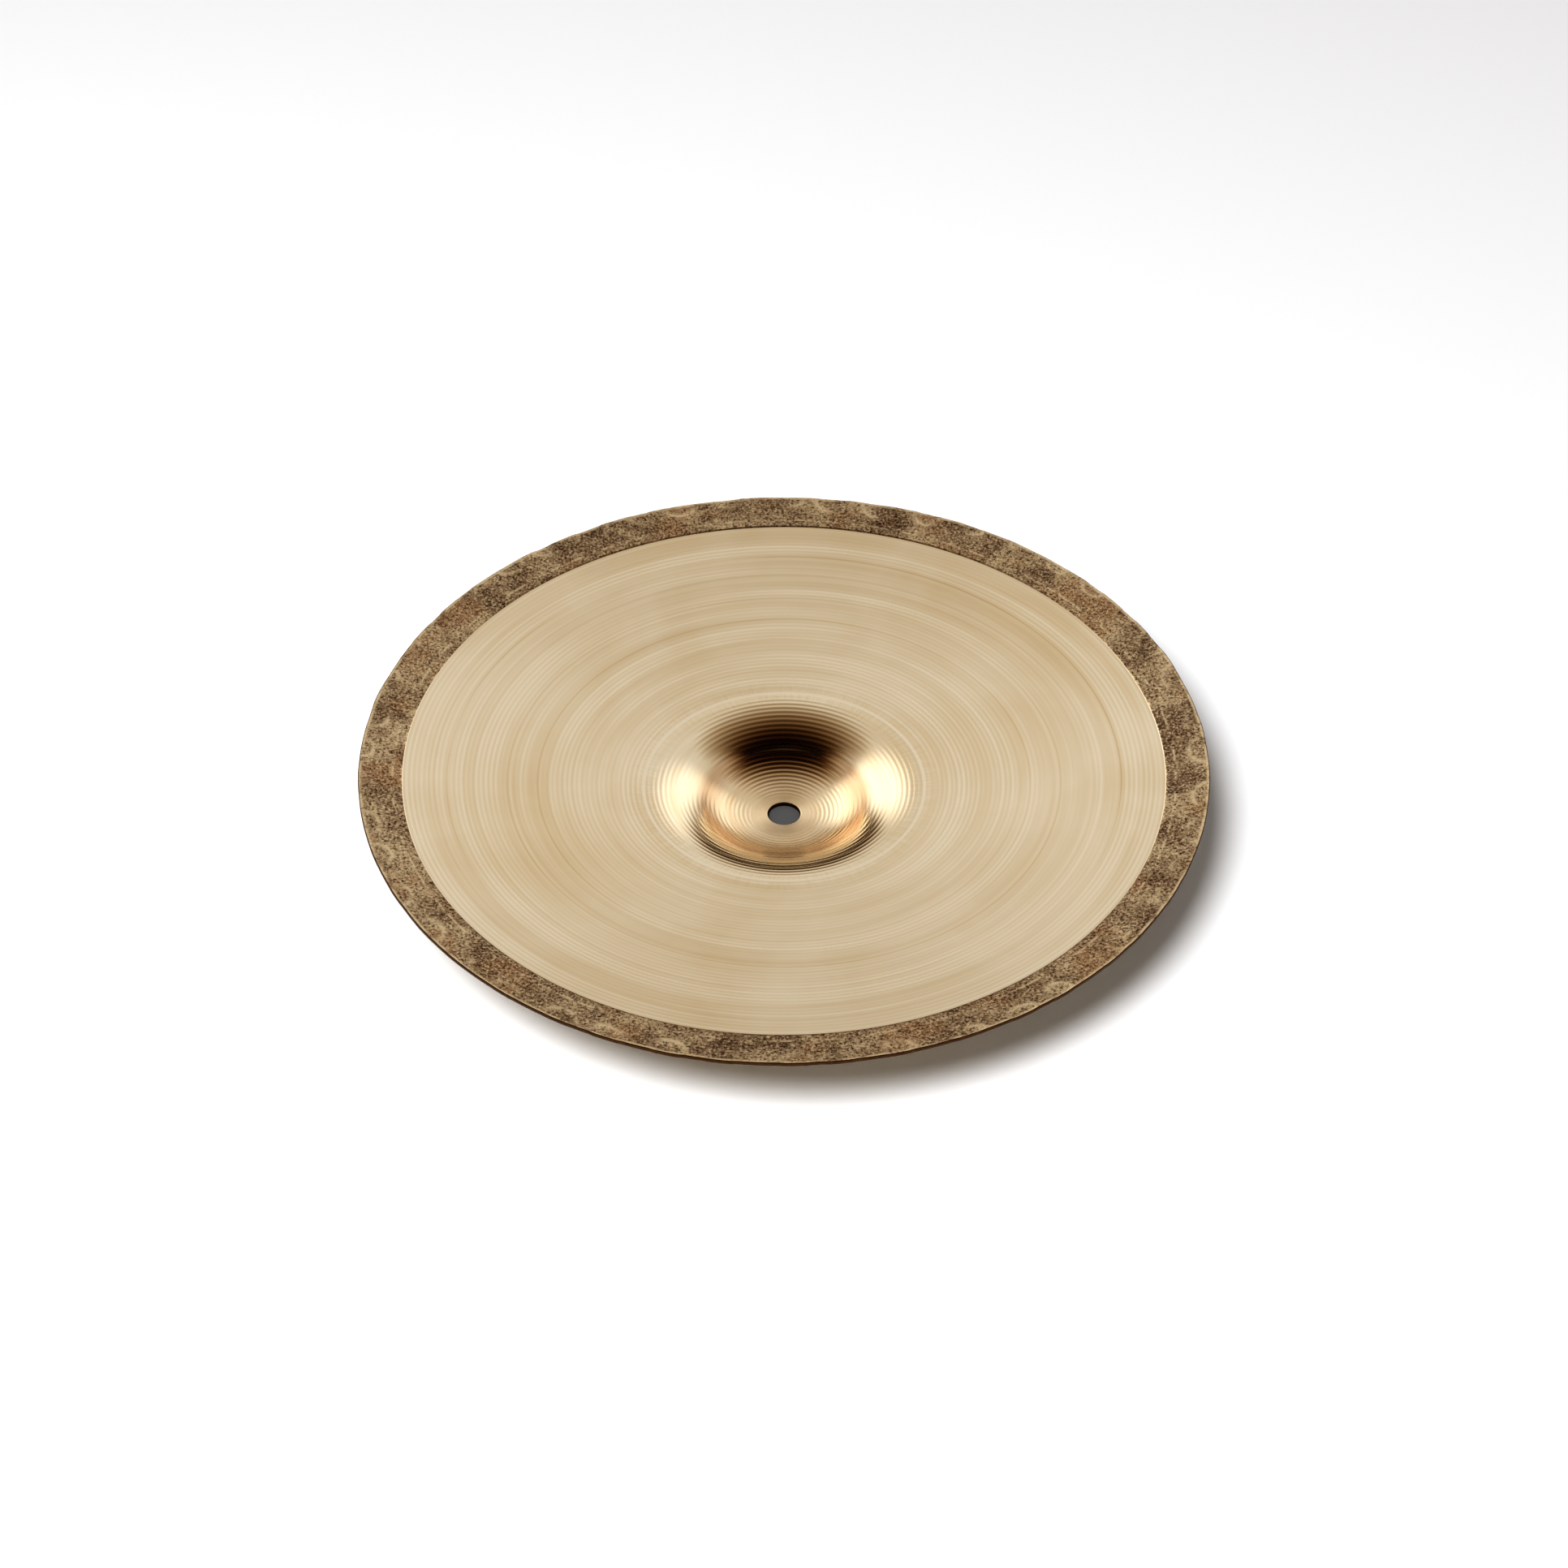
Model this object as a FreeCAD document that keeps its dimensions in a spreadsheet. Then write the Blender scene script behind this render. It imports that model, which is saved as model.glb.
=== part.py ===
"""A cymbal with a lathed bow and bell and a raw hammered band at the rim, lying bell down.

The cymbal is one cast, hammered and lathed bronze sheet: nothing is joined to it. Its concave side faces
up (+Z). The origin is the centre of the hole, in the plane of the flat land round it on the convex side,
which is the lowest plane of the object. Lengths are in millimetres and angles in degrees.

The cross-section runs outwards from the axis: a flat land, a dome that steepens to the bell's wall angle,
a shoulder that turns back to the bow's slope, and the shallow bow. Lathing took a thin layer off both
sides of the bow, so the band at the rim stands above it by a small step. The hole is drilled, its edges
and the rim are broken, and a ring of shallow hammer dents bites the rim from the concave side.
"""

import FreeCAD
import Part
import Sketcher

import math
import os

SHEET = "Sizes"
NODE = "cymbal"

# Driving dimensions: alias, value, what it is.
SIZES = [
    ("diameter", 330.0, "overall diameter at the rim"),
    ("hole_diameter", 12.8, "hole for the rod it hangs or stands on"),
    ("land_diameter", 18.0, "flat land round the hole"),
    ("wall_diameter", 64.6, "circle where the bell's wall is steepest"),
    ("bell_diameter", 110.4, "circle where the bell meets the bow"),
    ("wall_angle", 35.0, "steepest slope of the bell's wall"),
    ("bow_angle", 6.6, "slope of the bow where it leaves the bell"),
    ("rim_angle", 11.3, "slope of the bow at the rim"),
    ("bell_thickness", 1.8, "sheet thickness over the bell"),
    ("rim_thickness", 1.2, "sheet thickness at the rim"),
    ("band_width", 16.5, "radial width of the raw band at the rim"),
    ("lathe_depth", 0.15, "layer that lathing took off each side of the bow"),
    ("rim_round", 0.3, "rounding of the rim's two edges"),
    ("hole_chamfer", 0.2, "chamfer of the hole's two edges"),
    ("dent_count", 48, "hammer dents round the rim"),
    ("dent_width", 11.0, "width of a hammer dent"),
    ("dent_depth", 0.3, "depth of a hammer dent at its middle"),
    ("dent_inset", 0.5, "how far inside the rim a dent's middle lies"),
    ("tool_clearance", 0.4, "how far the dent's cutting shape stands above the sheet"),
]

START, END, CENTRE = 1, 2, 3    # a sketch line's or arc's own points
ORIGIN_POINT = (-1, 1)          # the sketch's origin, as (geometry, point)
V_AXIS = -2                     # the sketch's vertical axis, as geometry


def bound(expression):
    """An expression in which <name> stands for the sheet's cell of that name."""
    return expression.replace("<", f"{SHEET}.").replace(">", "")


def make_sheet(doc):
    """The spreadsheet of driving dimensions, one aliased cell each."""
    sheet = doc.addObject("Spreadsheet::Sheet", SHEET)
    for row, (alias, value, note) in enumerate(SIZES, start=1):
        sheet.set(f"A{row}", alias)
        sheet.set(f"B{row}", str(value))
        sheet.set(f"C{row}", note)
        sheet.setAlias(f"B{row}", alias)
    doc.recompute()
    return sheet


def origin_feature(body, role):
    """One of a body's own origin planes or axes."""
    return next(feature for feature in body.Origin.OriginFeatures if feature.Role == role)


def add_sketch(body, name, role):
    """An empty sketch on one of the body's own origin planes."""
    sketch = body.newObject("Sketcher::SketchObject", name)
    sketch.AttachmentSupport = [(origin_feature(body, role), "")]
    sketch.MapMode = "FlatFace"
    return sketch


def add_line(sketch, start, end):
    """A line between two (x, y) points; returns its geometry number."""
    return sketch.addGeometry(Part.LineSegment(FreeCAD.Vector(*start, 0), FreeCAD.Vector(*end, 0)), False)


def add_arc(sketch, centre, radius, start, end):
    """An arc about centre, anticlockwise between two angles; returns its geometry number."""
    circle = Part.Circle(FreeCAD.Vector(*centre, 0), FreeCAD.Vector(0, 0, 1), radius)
    return sketch.addGeometry(Part.ArcOfCircle(circle, math.radians(start), math.radians(end)), False)


def constrain(sketch, kind, *points):
    """One constraint that needs no value, such as Coincident or Tangent."""
    sketch.addConstraint(Sketcher.Constraint(kind, *points))


def dimension(sketch, name, kind, points, value, expression):
    """One named dimension: its value now, and the expression that then drives it."""
    index = sketch.addConstraint(Sketcher.Constraint(kind, *points, value))
    sketch.renameConstraint(index, name)
    sketch.setExpression(f"Constraints.{name}", bound(expression))


def measure(sketch, name, kind, points):
    """One named reference dimension, which other features' expressions read."""
    index = sketch.addConstraint(Sketcher.Constraint(kind, *points, 1.0))
    sketch.setDriving(index, False)
    sketch.renameConstraint(index, name)


def polar(centre, radius, angle):
    """The (x, y) point at an angle on a circle."""
    turn = math.radians(angle)
    return (centre[0] + radius * math.cos(turn), centre[1] + radius * math.sin(turn))


def bell_arcs(size):
    """Centre and radius of the dome and of the shoulder, on the underside."""
    steep, turned = math.sin(math.radians(size.wall_angle)), math.sin(math.radians(size.bow_angle))
    land, wall, bell = size.land_diameter / 2, size.wall_diameter / 2, size.bell_diameter / 2
    dome = (wall - land) / steep
    dome_centre = (land, dome)
    shoulder = (bell - wall) / (steep - turned)
    shoulder_centre = polar(dome_centre, dome + shoulder, size.wall_angle - 90)
    return dome_centre, dome, shoulder_centre, shoulder


def bow_arcs(size):
    """Centre and radius of the bow on each side.

    The upper side turns from one slope to the other between the bell and the rim. The underside starts at
    the same slope, and ends below the upper side by the rim's thickness.
    """
    start, end = math.radians(size.bow_angle), math.radians(size.rim_angle)
    shoulder_centre, shoulder = bell_arcs(size)[2:]
    under_point = polar(shoulder_centre, shoulder, size.bow_angle + 90)
    upper_point = polar(shoulder_centre, shoulder + size.bell_thickness, size.bow_angle + 90)
    rim = size.diameter / 2
    upper = (rim - upper_point[0]) / (math.sin(end) - math.sin(start))
    rim_height = upper_point[1] + upper * (math.cos(start) - math.cos(end))
    run = rim - under_point[0]
    rise = rim_height - size.rim_thickness - under_point[1]
    under = (run ** 2 + rise ** 2) / (2 * (rise * math.cos(start) - run * math.sin(start)))
    return {
        "upper": (polar(upper_point, upper, size.bow_angle + 90), upper),
        "under": (polar(under_point, under, size.bow_angle + 90), under),
    }


def draw_side(sketch, size, side):
    """One side of the sheet, "upper" or "under", from the axis to the rim: arcs, tangent up to the step.

    The geometry is worked out close to its solution, and its constraints then hold it there.
    Returns the geometry numbers by name.
    """
    dome_centre, dome, shoulder_centre, shoulder = bell_arcs(size)
    bow_centre, bow = bow_arcs(size)[side]
    offset = size.bell_thickness if side == "upper" else 0
    band = bow - size.lathe_depth if side == "upper" else bow + size.lathe_depth
    steep, start = size.wall_angle, size.bow_angle
    rim_radius = size.diameter / 2
    step_radius = rim_radius - size.band_width
    step_angle = -math.degrees(math.acos((step_radius - bow_centre[0]) / bow))
    rim_angle = -math.degrees(math.acos((rim_radius - bow_centre[0]) / bow))
    part = {
        "land": add_line(sketch, (0, offset), (size.land_diameter / 2, offset)),
        "dome": add_arc(sketch, dome_centre, dome - offset, -90, steep - 90),
        "shoulder": add_arc(sketch, shoulder_centre, shoulder + offset, start + 90, steep + 90),
        "bow": add_arc(sketch, bow_centre, bow, start - 90, step_angle),
        "step": add_line(sketch, polar(bow_centre, bow, step_angle), polar(bow_centre, band, step_angle)),
        "band": add_arc(sketch, bow_centre, band, step_angle, rim_angle),
    }
    constrain(sketch, "Horizontal", part["land"])
    constrain(sketch, "Tangent", part["dome"], END, part["shoulder"], END)
    constrain(sketch, "Tangent", part["shoulder"], START, part["bow"], START)
    constrain(sketch, "Coincident", part["bow"], END, part["step"], START)
    constrain(sketch, "Vertical", part["step"])
    constrain(sketch, "Coincident", part["step"], END, part["band"], START)
    constrain(sketch, "Coincident", part["band"], CENTRE, part["bow"], CENTRE)
    dimension(sketch, f"{side}_land", "DistanceX", (*ORIGIN_POINT, part["land"], END),
              size.land_diameter / 2, "<land_diameter> / 2")
    dimension(sketch, f"{side}_turn_back", "Angle", (part["shoulder"],),
              math.radians(steep - start), "<wall_angle> - <bow_angle>")
    dimension(sketch, f"{side}_step_radius", "DistanceX", (*ORIGIN_POINT, part["bow"], END),
              step_radius, "<diameter> / 2 - <band_width>")
    dimension(sketch, f"{side}_step_height", "Distance", (part["step"],),
              size.lathe_depth, "<lathe_depth>")
    return part


def draw_section(sketch, size):
    """The sheet's closed cross-section: both sides, the rim between them and the axis."""
    under = draw_side(sketch, size, "under")
    upper = draw_side(sketch, size, "upper")
    bow_centre, bow = bow_arcs(size)["upper"]
    rim_radius = size.diameter / 2
    rim_height = bow_centre[1] - math.sqrt(bow ** 2 - (rim_radius - bow_centre[0]) ** 2)
    rim = add_line(sketch, (rim_radius, rim_height - size.rim_thickness), (rim_radius, rim_height))
    axis = add_line(sketch, (0, size.bell_thickness), (0, 0))

    constrain(sketch, "Coincident", under["land"], START, *ORIGIN_POINT)
    constrain(sketch, "Coincident", axis, END, *ORIGIN_POINT)
    constrain(sketch, "Vertical", axis)
    constrain(sketch, "Coincident", axis, START, upper["land"], START)
    constrain(sketch, "Tangent", under["land"], END, under["dome"], START)
    constrain(sketch, "Coincident", upper["land"], END, upper["dome"], START)
    constrain(sketch, "Coincident", upper["dome"], CENTRE, under["dome"], CENTRE)
    constrain(sketch, "Coincident", upper["shoulder"], CENTRE, under["shoulder"], CENTRE)
    constrain(sketch, "Coincident", under["band"], END, rim, START)
    constrain(sketch, "Coincident", upper["band"], END, rim, END)
    constrain(sketch, "Vertical", rim)

    dimension(sketch, "bell_thickness", "DistanceY", (axis, END, axis, START),
              size.bell_thickness, "<bell_thickness>")
    dimension(sketch, "wall_angle", "Angle", (under["dome"],),
              math.radians(size.wall_angle), "<wall_angle>")
    dimension(sketch, "wall_radius", "DistanceX", (*ORIGIN_POINT, under["dome"], END),
              size.wall_diameter / 2, "<wall_diameter> / 2")
    dimension(sketch, "bell_radius", "DistanceX", (*ORIGIN_POINT, under["shoulder"], START),
              size.bell_diameter / 2, "<bell_diameter> / 2")
    dimension(sketch, "rim_radius", "DistanceX", (*ORIGIN_POINT, rim, START),
              rim_radius, "<diameter> / 2")
    dimension(sketch, "rim_thickness", "Distance", (rim,), size.rim_thickness, "<rim_thickness>")
    run = "((<diameter> - <bell_diameter>) / 2 + <bell_thickness> * sin(<bow_angle> * 1 deg))"
    turn = "(sin(<rim_angle> * 1 deg) - sin(<bow_angle> * 1 deg))"
    dimension(sketch, "bow_radius", "Radius", (upper["bow"],), bow, f"{run} / {turn}")

    measure(sketch, "band_centre_across", "DistanceX", (*ORIGIN_POINT, upper["band"], CENTRE))
    measure(sketch, "band_centre_height", "DistanceY", (*ORIGIN_POINT, upper["band"], CENTRE))
    measure(sketch, "band_radius", "Radius", (upper["band"],))


def circle_edges(shape, radius):
    """Names of a shape's full circles of one radius, such as the two edges of the hole."""
    return [
        f"Edge{number}"
        for number, edge in enumerate(shape.Edges, start=1)
        if isinstance(edge.Curve, Part.Circle) and abs(edge.Curve.Radius - radius) < 1e-3
    ]


def break_edges(doc, body, base, kind, name, radius, length, alias):
    """Round or chamfer the two full circles of one radius, by a length bound to the sheet."""
    doc.recompute()
    edges = circle_edges(base.Shape, radius)
    if len(edges) != 2:
        raise RuntimeError(f"{name}: found {len(edges)} edges, not 2")
    feature = body.newObject(kind, name)
    feature.Base = (base, edges)
    setattr(feature, length, 1.0)
    feature.setExpression(length, bound(f"<{alias}>"))
    return feature


def drill_hole(doc, body, size):
    """The round hole through the land."""
    sketch = add_sketch(body, "HoleSketch", "XY_Plane")
    circle = sketch.addGeometry(
        Part.Circle(FreeCAD.Vector(0, 0, 0), FreeCAD.Vector(0, 0, 1), size.hole_diameter / 2), False)
    constrain(sketch, "Coincident", circle, CENTRE, *ORIGIN_POINT)
    dimension(sketch, "hole_diameter", "Diameter", (circle,), size.hole_diameter, "<hole_diameter>")
    doc.recompute()
    before = body.Shape.Volume
    hole = body.newObject("PartDesign::Pocket", "Hole")
    hole.Profile = sketch
    hole.Type = "ThroughAll"
    hole.Midplane = True
    doc.recompute()
    removed = before - body.Shape.Volume
    expected = math.pi * (size.hole_diameter / 2) ** 2 * size.bell_thickness
    print(f"Hole: removed {removed:.1f} mm3 of {expected:.1f}")
    if abs(removed - expected) > expected / 10:
        raise RuntimeError("the hole didn't cut through the land")
    return hole


def press_dents(doc, body, size):
    """The ring of hammer dents: one spherical dent square to the band, repeated round the axis."""
    across = "((<diameter> / 2 - <dent_inset>) * 1 mm)"
    reach = f"({across} - Section.Constraints.band_centre_across)"
    tilt = f"asin({reach} / Section.Constraints.band_radius)"
    height = f"Section.Constraints.band_centre_height - sqrt(Section.Constraints.band_radius^2 - {reach}^2)"
    ball = size.dent_width ** 2 / 8 / size.dent_depth + size.dent_depth / 2

    sketch = add_sketch(body, "DentSketch", "XZ_Plane")
    sketch.setExpression("AttachmentOffset.Base.x", bound(across))
    sketch.setExpression("AttachmentOffset.Base.y", bound(height))
    sketch.setExpression("AttachmentOffset.Rotation.Angle", bound(tilt))
    centre = (0, ball - size.dent_depth)
    top_angle = -math.degrees(math.asin((centre[1] - size.tool_clearance) / ball))
    bowl = add_arc(sketch, centre, ball, -90, top_angle)
    top = add_line(sketch, polar(centre, ball, top_angle), (0, size.tool_clearance))
    axis = add_line(sketch, (0, size.tool_clearance), (0, -size.dent_depth))
    constrain(sketch, "PointOnObject", bowl, CENTRE, V_AXIS)
    constrain(sketch, "Coincident", bowl, END, top, START)
    constrain(sketch, "Horizontal", top)
    constrain(sketch, "Coincident", top, END, axis, START)
    constrain(sketch, "Coincident", axis, END, bowl, START)
    constrain(sketch, "PointOnObject", axis, START, V_AXIS)
    constrain(sketch, "PointOnObject", axis, END, V_AXIS)
    dimension(sketch, "ball_radius", "Radius", (bowl,), ball,
              "<dent_width>^2 / 8 / <dent_depth> + <dent_depth> / 2")
    dimension(sketch, "dent_depth", "DistanceY", (axis, END, *ORIGIN_POINT), size.dent_depth, "<dent_depth>")
    dimension(sketch, "tool_clearance", "DistanceY", (*ORIGIN_POINT, axis, START),
              size.tool_clearance, "<tool_clearance>")
    doc.recompute()

    dent = body.newObject("PartDesign::Groove", "Dent")
    dent.Profile = sketch
    dent.ReferenceAxis = (sketch, ["V_Axis"])
    dent.Angle = 360
    ring = body.newObject("PartDesign::PolarPattern", "DentRing")
    ring.Originals = [dent]
    ring.Axis = (origin_feature(body, "Z_Axis"), [""])
    ring.Angle = 360
    ring.setExpression("Occurrences", bound("<dent_count>"))
    body.Tip = ring
    doc.recompute()
    dents = [face for face in body.Shape.Faces if isinstance(face.Surface, Part.Sphere)]
    print(f"DentRing: {len(dents)} spherical faces for {size.dent_count:.0f} dents")
    if len(dents) < size.dent_count:
        raise RuntimeError("some hammer dents didn't cut the rim")
    return ring


def make_cymbal(doc, size):
    """The cymbal: the sheet turned from its section, drilled, its edges broken, then hammered."""
    body = doc.addObject("PartDesign::Body", "Cymbal")
    body.Label = NODE
    section = add_sketch(body, "Section", "XZ_Plane")
    draw_section(section, size)
    doc.recompute()
    turned = body.newObject("PartDesign::Revolution", "Sheet")
    turned.Profile = section
    turned.ReferenceAxis = (section, ["V_Axis"])
    turned.Angle = 360
    hole = drill_hole(doc, body, size)
    chamfer = break_edges(doc, body, hole, "PartDesign::Chamfer", "HoleChamfer",
                          size.hole_diameter / 2, "Size", "hole_chamfer")
    break_edges(doc, body, chamfer, "PartDesign::Fillet", "RimRound",
                size.diameter / 2, "Radius", "rim_round")
    doc.recompute()
    press_dents(doc, body, size)
    body.Placement = FreeCAD.Placement()
    return body


def check_document(doc, parts):
    """Stop if any feature failed or any part isn't one sound solid."""
    for item in doc.Objects:
        if "Invalid" in item.State or "Error" in item.State:
            raise RuntimeError(f"{item.Name} failed: {item.State}")
    for part in parts:
        if part.Shape.isNull() or not part.Shape.isValid() or len(part.Shape.Solids) != 1:
            raise RuntimeError(f"{part.Label} is not one valid solid")


def main():
    """Build the document, check it and write one STEP file for each part."""
    doc = FreeCAD.newDocument("Cymbal")
    size = make_sheet(doc)
    parts = [make_cymbal(doc, size)]
    doc.recompute()
    check_document(doc, parts)
    os.makedirs("parts", exist_ok=True)
    for part in parts:
        part.Shape.exportStep(f"parts/{part.Label}.step")
        box = part.Shape.optimalBoundingBox(False)
        print(f"{part.Label}: {box.XLength:.2f} x {box.YLength:.2f} x {box.ZLength:.2f} mm,"
              f" z {box.ZMin:.3f} to {box.ZMax:.3f}, {part.Shape.Volume:.0f} mm3")


main()
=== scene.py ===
"""The looks of a lathed bronze cymbal with a raw hammered rim band, lying bell down.

The cymbal is one turned sheet, so its main mesh follows a rule: a cross-section of arcs, turned round the
axis by a Geometry Nodes tree that also cuts the bell's lathe grooves, presses the hammer dents into the rim
and lets the rim wave a little. Lengths are in millimetres until they reach a mesh, a node or a light.
"""

import logging
import math
from dataclasses import dataclass, field
from enum import IntEnum
from typing import Any

import bpy
import numpy as np
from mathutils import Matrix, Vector

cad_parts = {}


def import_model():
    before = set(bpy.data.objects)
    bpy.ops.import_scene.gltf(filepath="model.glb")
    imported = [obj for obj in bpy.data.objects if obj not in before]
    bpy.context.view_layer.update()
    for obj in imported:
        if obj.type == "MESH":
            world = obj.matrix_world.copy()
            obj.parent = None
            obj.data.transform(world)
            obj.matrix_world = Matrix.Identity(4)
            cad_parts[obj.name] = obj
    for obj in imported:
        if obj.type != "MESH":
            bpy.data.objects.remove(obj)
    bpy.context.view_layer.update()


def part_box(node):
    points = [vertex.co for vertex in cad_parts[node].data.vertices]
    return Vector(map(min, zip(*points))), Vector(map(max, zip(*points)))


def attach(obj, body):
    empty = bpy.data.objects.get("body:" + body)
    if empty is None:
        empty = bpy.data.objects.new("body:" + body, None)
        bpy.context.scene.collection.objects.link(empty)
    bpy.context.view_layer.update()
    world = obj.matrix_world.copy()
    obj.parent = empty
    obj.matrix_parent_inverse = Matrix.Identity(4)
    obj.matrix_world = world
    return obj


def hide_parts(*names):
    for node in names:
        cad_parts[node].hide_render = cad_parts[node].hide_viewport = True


log = logging.getLogger("cymbal")

MM = 0.001
NODE = "cymbal"
BODY = "root"
UV_NAME = "OFBake"
LIP_NAME = "dent_lip"


# ---------------------------------------------------------------------------------------------- helpers


def linear(hex_colour: str) -> tuple[float, float, float, float]:
    """An sRGB hex colour as linear red, green, blue and an alpha of one.

    Args:
        hex_colour: six hex digits, with or without a leading hash.

    Returns:
        The colour that a shader socket takes.
    """
    digits = hex_colour.lstrip("#")
    channels = [int(digits[i:i + 2], 16) / 255 for i in (0, 2, 4)]
    red, green, blue = [c / 12.92 if c <= 0.04045 else ((c + 0.055) / 1.055) ** 2.4 for c in channels]
    return red, green, blue, 1.0


def add(tree: bpy.types.NodeTree, kind: str, settings: dict[str, Any] | None = None,
        inputs: dict[int | str, Any] | None = None) -> bpy.types.Node:
    """Add a node to a tree, set it up and link it.

    Args:
        tree: the shader or geometry tree.
        kind: the node's type name, such as ShaderNodeMath.
        settings: the node's own properties by name.
        inputs: what goes into each input, by number or name: a socket is linked, anything else is a value.

    Returns:
        The new node.
    """
    node = tree.nodes.new(kind)
    for name, value in (settings or {}).items():
        setattr(node, name, value)
    for key, value in (inputs or {}).items():
        socket = node.inputs[key]
        if isinstance(value, bpy.types.NodeSocket):
            tree.links.new(value, socket)
        else:
            socket.default_value = value
    return node


class Sums:
    """Arithmetic on the sockets of one tree, so that a formula reads as one."""

    def __init__(self, tree: bpy.types.NodeTree) -> None:
        """Keep the tree that the sums are added to."""
        self.tree = tree

    def do(self, operation: str, *values: Any) -> bpy.types.NodeSocket:
        """One Math node.

        Args:
            operation: the node's operation, such as MULTIPLY.
            values: sockets or numbers, in order.

        Returns:
            The result's socket.
        """
        return add(self.tree, "ShaderNodeMath", {"operation": operation}, dict(enumerate(values))).outputs[0]

    def ramp(self, value: Any, low: Any, high: Any, to_low: float = 0.0, to_high: float = 1.0,
             smooth: bool = True) -> bpy.types.NodeSocket:
        """A value eased from one range to another, and held at its ends.

        Args:
            value: what is mapped.
            low: where the ramp starts.
            high: where it ends.
            to_low: the result at and before the start.
            to_high: the result at and past the end.
            smooth: whether the ramp eases in and out.

        Returns:
            The result's socket.
        """
        kind = "SMOOTHSTEP" if smooth else "LINEAR"
        node = add(self.tree, "ShaderNodeMapRange", {"interpolation_type": kind, "clamp": True},
                   {"Value": value, "From Min": low, "From Max": high, "To Min": to_low, "To Max": to_high})
        return node.outputs[0]

    def bump_at(self, value: Any, centre: Any, half_width: Any) -> bpy.types.NodeSocket:
        """One at the centre, eased to nought a half width away on both sides.

        Args:
            value: what is compared.
            centre: where the result is one.
            half_width: how far from there the result is nought.

        Returns:
            The result's socket.
        """
        away = self.do("ABSOLUTE", self.do("SUBTRACT", value, centre))
        return self.ramp(away, 0.0, half_width, 1.0, 0.0)

    def noise(self, position: Any, scale: float, detail: float = 2.0, roughness: float = 0.5,
              distortion: float = 0.0) -> bpy.types.NodeSocket:
        """Noise from about nought to one.

        Args:
            position: where it is read.
            scale: cells for each unit of the position.
            detail: octaves of finer noise.
            roughness: how strong the finer octaves are.
            distortion: how far the cells are pulled out of shape.

        Returns:
            The noise's socket.
        """
        node = add(self.tree, "ShaderNodeTexNoise", {"noise_dimensions": "3D"},
                   {"Vector": position, "Scale": scale, "Detail": detail, "Roughness": roughness,
                    "Distortion": distortion})
        return node.outputs[0]


# ---------------------------------------------------------------------------------- the cross-section


class Side(IntEnum):
    """Which way a ring of the sheet faces."""

    CONCAVE = 1
    EDGE = 0
    CONVEX = -1


class Zone(IntEnum):
    """Which finish a strip of the sheet has."""

    LATHED = 0
    RAW_BAND = 1
    CUT_EDGE = 2
    CUP = 3


@dataclass(frozen=True)
class Ring:
    """One ring of the mesh: a point of the cross-section, and how the strip after it is made."""

    radius: float
    height: float
    side: Side
    zone: Zone
    stride: int


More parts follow.
